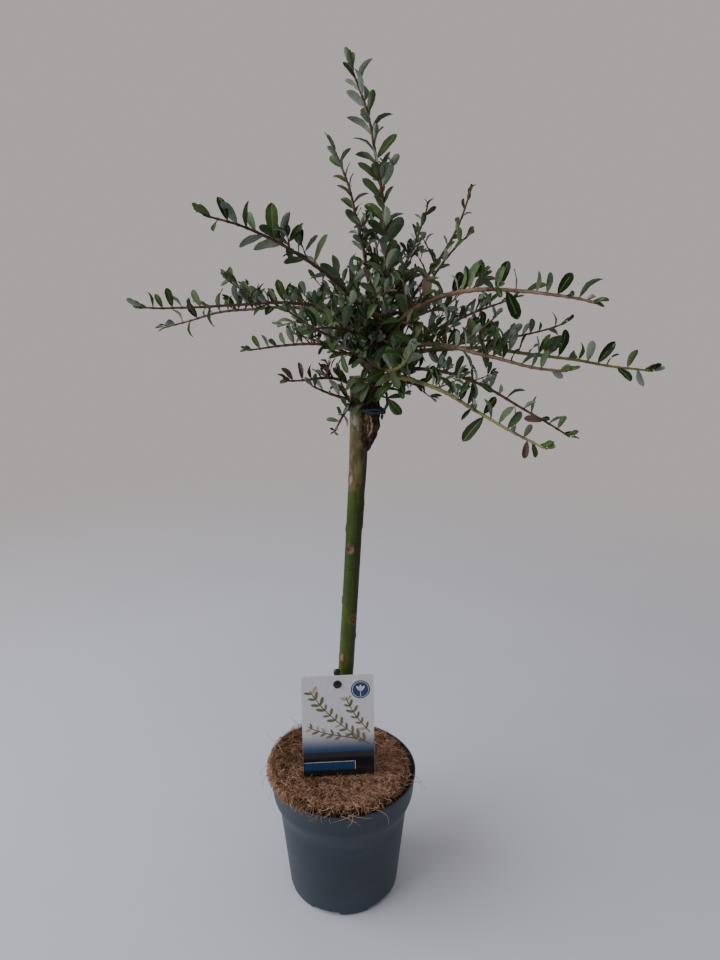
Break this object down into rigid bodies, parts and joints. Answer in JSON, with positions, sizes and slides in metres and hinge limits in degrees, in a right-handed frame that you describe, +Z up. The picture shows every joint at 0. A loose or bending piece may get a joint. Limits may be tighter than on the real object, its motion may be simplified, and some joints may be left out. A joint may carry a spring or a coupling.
{
  "type": "potted creeping willow",
  "caption": "Small willow grafted on a short green stem, with arching leafy shoots, growing in a round plastic nursery pot topped with a coir disc and a picture tag.",
  "frame": {"origin": "centre of the pot's flat underside", "axes": "+Z up the stem, -Y towards the viewer who faces the picture tag, +X to that viewer's right"},
  "size_m": [0.4321, 0.3251, 0.7877],
  "materials": {
    "pot_plastic": "semi-matt moulded slate grey",
    "soil": "dark loose compost",
    "coir": "matted coconut fibre",
    "stem_bark": "smooth green bark, olive grey towards the graft",
    "callus_bark": "dark corky callus",
    "twig_bark": "red-brown young bark",
    "leaf": "grey-green, silvery below",
    "dead_leaf": "dry brown",
    "tie": "soft blue tie",
    "tag_card": "printed plastic card",
    "holder_plastic": "black plastic"
  },
  "bodies": {
    "root": {"pot": "pot_plastic", "soil": "soil", "coir_disc": "coir", "trunk": "stem_bark", "scion": "callus_bark", "graft_tie": "tie", "tag": "tag_card", "tag_holder": "holder_plastic", "bough_leader": "twig_bark", "bough_leader_left": "twig_bark", "bough_upper_left": "twig_bark", "bough_left_far": "twig_bark", "bough_left_long": "twig_bark", "bough_left_low": "twig_bark", "bough_up_right_1": "twig_bark", "bough_up_right_2": "twig_bark", "bough_right_arch": "twig_bark", "bough_right_riser": "twig_bark", "bough_right_long": "twig_bark", "bough_right_mid": "twig_bark", "bough_right_low": "twig_bark", "bough_right_lowest": "twig_bark", "bough_back_arch": "twig_bark", "bough_back_long": "twig_bark", "bough_back_right": "twig_bark", "mass_leader": "leaf", "mass_leader_left": "leaf", "mass_upper_left": "leaf", "mass_left_far": "leaf", "mass_left_long": "leaf", "mass_left_low": "leaf", "mass_left_twig_high": "leaf", "mass_left_twig_mid": "leaf", "mass_left_twig_low": "leaf", "mass_left_hook": "leaf", "mass_dead_twig": "dead_leaf", "mass_up_right_1": "leaf", "mass_up_right_2": "leaf", "mass_up_right_3": "leaf", "mass_right_arch": "leaf", "mass_right_riser": "leaf", "mass_right_twig": "leaf", "mass_right_long": "leaf", "mass_right_mid": "leaf", "mass_right_low": "leaf", "mass_right_lowest": "leaf", "mass_front_shoot": "leaf", "mass_low_left_high": "leaf", "mass_low_left_low": "leaf", "mass_right_tuft": "leaf", "mass_back_high": "leaf", "mass_back_arch": "leaf", "mass_back_long": "leaf", "mass_back_right": "leaf", "mass_back_low": "leaf", "mass_back_twig": "leaf", "mass_front_high": "leaf", "mass_front_left": "leaf"}
  },
  "joints": []
}
